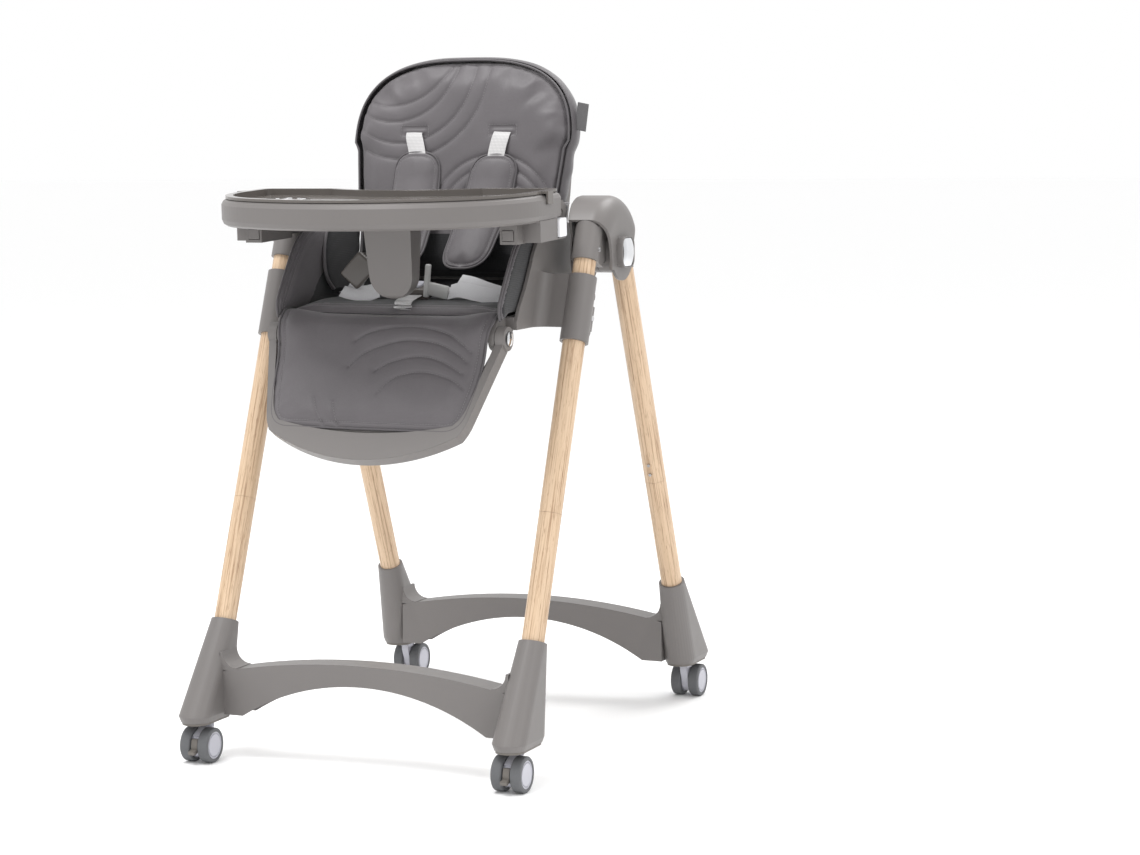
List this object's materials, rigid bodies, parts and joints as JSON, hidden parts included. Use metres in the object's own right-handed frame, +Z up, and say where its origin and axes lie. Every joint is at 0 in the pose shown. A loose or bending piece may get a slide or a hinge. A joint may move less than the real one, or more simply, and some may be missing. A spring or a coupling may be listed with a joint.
{
  "type": "folding high chair",
  "caption": "Folding baby high chair on four casters with wood-look tube legs, a height-adjustable reclining padded seat, harness, footrest and fold-up tray.",
  "frame": {"origin": "on the floor, in the middle of the chair's outline", "axes": "+Z up; the child faces -Y; +X is the child's left side"},
  "size_m": [0.572, 0.7658, 1.0017],
  "materials": {
    "grey_plastic": "satin moulded ABS, warm grey",
    "dark_plastic": "glossy darker taupe grey",
    "wood_film": "satin light oak grain film on the tube",
    "chrome": "polished",
    "steel": "zinc plated",
    "tyre_rubber": "matt",
    "pale_plastic": "satin, pale cool grey",
    "leatherette": "fine grained, quilted and stitched",
    "webbing": "woven nylon",
    "cap_plastic": "satin, darker grey"
  },
  "bodies": {
    "front_frame": {"front_base": "grey_plastic", "front_foot_caps": "cap_plastic", "front_tubes_lower": "wood_film", "front_tubes_upper": "wood_film", "front_sockets": "grey_plastic", "pivot_pins": "steel", "front_fixings": "steel"},
    "rear_frame": {"rear_base": "grey_plastic", "rear_foot_caps": "cap_plastic", "rear_tubes_lower": "wood_film", "rear_tubes_upper": "wood_film", "rear_sockets": "grey_plastic", "rear_fixings": "steel"},
    "hinge_head_left": {"hinge_cover_left": "grey_plastic"},
    "hinge_head_right": {"hinge_cover_right": "grey_plastic"},
    "fold_release_left": {"fold_button_left": "chrome"},
    "fold_release_right": {"fold_button_right": "chrome"},
    "caster_front_left": {"caster_body_fl": "pale_plastic"},
    "wheels_front_left": {"caster_tyres_fl": "tyre_rubber", "caster_hubs_fl": "pale_plastic"},
    "brake_front_left": {"caster_pedal_fl": "cap_plastic"},
    "caster_front_right": {"caster_body_fr": "pale_plastic"},
    "wheels_front_right": {"caster_tyres_fr": "tyre_rubber", "caster_hubs_fr": "pale_plastic"},
    "brake_front_right": {"caster_pedal_fr": "cap_plastic"},
    "caster_rear_left": {"caster_body_rl": "pale_plastic"},
    "wheels_rear_left": {"caster_tyres_rl": "tyre_rubber", "caster_hubs_rl": "pale_plastic"},
    "brake_rear_left": {"caster_pedal_rl": "cap_plastic"},
    "caster_rear_right": {"caster_body_rr": "pale_plastic"},
    "wheels_rear_right": {"caster_tyres_rr": "tyre_rubber", "caster_hubs_rr": "pale_plastic"},
    "brake_rear_right": {"caster_pedal_rr": "cap_plastic"},
    "seat_unit": {"carrier_left": "grey_plastic", "carrier_right": "grey_plastic", "carrier_fixings": "steel", "seat_shell": "grey_plastic", "seat_cushion": "leatherette", "side_wings": "leatherette", "buckle": "cap_plastic", "lap_belts": "webbing"},
    "height_release_left": {"height_lever_left": "pale_plastic"},
    "height_release_right": {"height_lever_right": "pale_plastic"},
    "backrest": {"back_shell": "grey_plastic", "back_cushion": "leatherette", "shoulder_straps": "webbing", "shoulder_pads": "leatherette"},
    "recline_release": {"recline_handle": "grey_plastic"},
    "footrest": {"footrest_frame": "grey_plastic", "footrest_stay": "steel", "footrest_flap": "leatherette"},
    "footrest_release_left": {"footrest_button_left": "chrome"},
    "footrest_release_right": {"footrest_button_right": "chrome"},
    "arms": {"tray_arms": "grey_plastic"},
    "tray": {"tray_base": "grey_plastic", "crotch_post": "grey_plastic"},
    "tray_release_left": {"tray_latch_left": "pale_plastic"},
    "tray_release_right": {"tray_latch_right": "pale_plastic"},
    "serving_tray": {"tray_insert": "dark_plastic"}
  },
  "joints": [
    {"name": "fold", "type": "hinge", "parent": "front_frame", "child": "rear_frame", "pos_m": [0, 0.0125, 0.715], "axis": [-1, 0, 0], "range_deg": [0, 43]},
    {"name": "hinge_head_left_turn", "type": "hinge", "parent": "front_frame", "child": "hinge_head_left", "pos_m": [0, 0.0125, 0.715], "axis": [-1, 0, 0], "range_deg": [0, 21.5]},
    {"name": "hinge_head_right_turn", "type": "hinge", "parent": "front_frame", "child": "hinge_head_right", "pos_m": [0, 0.0125, 0.715], "axis": [-1, 0, 0], "range_deg": [0, 21.5]},
    {"name": "fold_button_left_press", "type": "slide", "parent": "hinge_head_left", "child": "fold_release_left", "axis": [-1, 0, 0], "range_m": [0, 0.004], "stiffness_N_per_m": 400, "springref_m": -0.002},
    {"name": "fold_button_right_press", "type": "slide", "parent": "hinge_head_right", "child": "fold_release_right", "axis": [1, 0, 0], "range_m": [0, 0.004], "stiffness_N_per_m": 400, "springref_m": -0.002},
    {"name": "caster_front_left_swivel", "type": "hinge", "parent": "front_frame", "child": "caster_front_left", "pos_m": [0.243, -0.311, 0.06], "axis": [0, 0, 1], "continuous": true},
    {"name": "caster_front_left_roll", "type": "hinge", "parent": "caster_front_left", "child": "wheels_front_left", "pos_m": [0.243, -0.328, 0.025], "axis": [1, 0, 0], "continuous": true},
    {"name": "caster_front_left_brake", "type": "hinge", "parent": "caster_front_left", "child": "brake_front_left", "pos_m": [0.243, -0.328, 0.025], "axis": [1, 0, 0], "range_deg": [0, 16]},
    {"name": "caster_front_right_swivel", "type": "hinge", "parent": "front_frame", "child": "caster_front_right", "pos_m": [-0.243, -0.311, 0.06], "axis": [0, 0, 1], "continuous": true},
    {"name": "caster_front_right_roll", "type": "hinge", "parent": "caster_front_right", "child": "wheels_front_right", "pos_m": [-0.243, -0.328, 0.025], "axis": [1, 0, 0], "continuous": true},
    {"name": "caster_front_right_brake", "type": "hinge", "parent": "caster_front_right", "child": "brake_front_right", "pos_m": [-0.243, -0.328, 0.025], "axis": [1, 0, 0], "range_deg": [0, 16]},
    {"name": "caster_rear_left_swivel", "type": "hinge", "parent": "rear_frame", "child": "caster_rear_left", "pos_m": [0.243, 0.336, 0.06], "axis": [0, 0, 1], "continuous": true},
    {"name": "caster_rear_left_roll", "type": "hinge", "parent": "caster_rear_left", "child": "wheels_rear_left", "pos_m": [0.243, 0.353, 0.025], "axis": [1, 0, 0], "continuous": true},
    {"name": "caster_rear_left_brake", "type": "hinge", "parent": "caster_rear_left", "child": "brake_rear_left", "pos_m": [0.243, 0.353, 0.025], "axis": [-1, 0, 0], "range_deg": [0, 16]},
    {"name": "caster_rear_right_swivel", "type": "hinge", "parent": "rear_frame", "child": "caster_rear_right", "pos_m": [-0.243, 0.336, 0.06], "axis": [0, 0, 1], "continuous": true},
    {"name": "caster_rear_right_roll", "type": "hinge", "parent": "caster_rear_right", "child": "wheels_rear_right", "pos_m": [-0.243, 0.353, 0.025], "axis": [1, 0, 0], "continuous": true},
    {"name": "caster_rear_right_brake", "type": "hinge", "parent": "caster_rear_right", "child": "brake_rear_right", "pos_m": [-0.243, 0.353, 0.025], "axis": [-1, 0, 0], "range_deg": [0, 16]},
    {"name": "seat_height", "type": "slide", "parent": "front_frame", "child": "seat_unit", "axis": [0, 0.3616, 0.9323], "range_m": [-0.21, 0]},
    {"name": "height_lever_left_press", "type": "hinge", "parent": "seat_unit", "child": "height_release_left", "pos_m": [0.243, -0.05618, 0.62365], "axis": [1, 0, 0], "range_deg": [0, 6], "stiffness_Nm_per_rad": 0.4, "springref_deg": -5.73},
    {"name": "height_lever_right_press", "type": "hinge", "parent": "seat_unit", "child": "height_release_right", "pos_m": [-0.243, -0.05618, 0.62365], "axis": [1, 0, 0], "range_deg": [0, 6], "stiffness_Nm_per_rad": 0.4, "springref_deg": -5.73},
    {"name": "recline", "type": "hinge", "parent": "seat_unit", "child": "backrest", "pos_m": [0, 0.0225, 0.65], "axis": [-1, 0, 0], "range_deg": [0, 33]},
    {"name": "recline_handle_squeeze", "type": "hinge", "parent": "backrest", "child": "recline_release", "pos_m": [0, 0.10365, 0.90674], "axis": [1, 0, 0], "range_deg": [0, 12], "stiffness_Nm_per_rad": 0.5, "springref_deg": -5.73},
    {"name": "footrest_swing", "type": "hinge", "parent": "seat_unit", "child": "footrest", "pos_m": [0, -0.1955, 0.604], "axis": [-1, 0, 0], "range_deg": [-26, 52]},
    {"name": "footrest_button_left_press", "type": "slide", "parent": "footrest", "child": "footrest_release_left", "axis": [-1, 0, 0], "range_m": [0, 0.0008], "stiffness_N_per_m": 300, "springref_m": -0.001},
    {"name": "footrest_button_right_press", "type": "slide", "parent": "footrest", "child": "footrest_release_right", "axis": [1, 0, 0], "range_m": [0, 0.0008], "stiffness_N_per_m": 300, "springref_m": -0.001},
    {"name": "tray_fold_up", "type": "hinge", "parent": "seat_unit", "child": "arms", "pos_m": [0, -0.0545, 0.773], "axis": [-1, 0, 0], "range_deg": [0, 95]},
    {"name": "tray_slide", "type": "slide", "parent": "arms", "child": "tray", "axis": [0, -0.9994, -0.0349], "range_m": [0, 0.045]},
    {"name": "tray_latch_left_press", "type": "slide", "parent": "tray", "child": "tray_release_left", "axis": [-1, 0, 0], "range_m": [0, 0.0025], "stiffness_N_per_m": 300, "springref_m": -0.001},
    {"name": "tray_latch_right_press", "type": "slide", "parent": "tray", "child": "tray_release_right", "axis": [1, 0, 0], "range_m": [0, 0.0025], "stiffness_N_per_m": 300, "springref_m": -0.001},
    {"name": "serving_tray_lift", "type": "slide", "parent": "tray", "child": "serving_tray", "axis": [0, -0.0349, 0.9994], "range_m": [0, 0.04]}
  ],
  "couplings": [
    {"joint": "hinge_head_left_turn", "follows": "fold", "ratio": 0.5},
    {"joint": "hinge_head_right_turn", "follows": "fold", "ratio": 0.5}
  ]
}
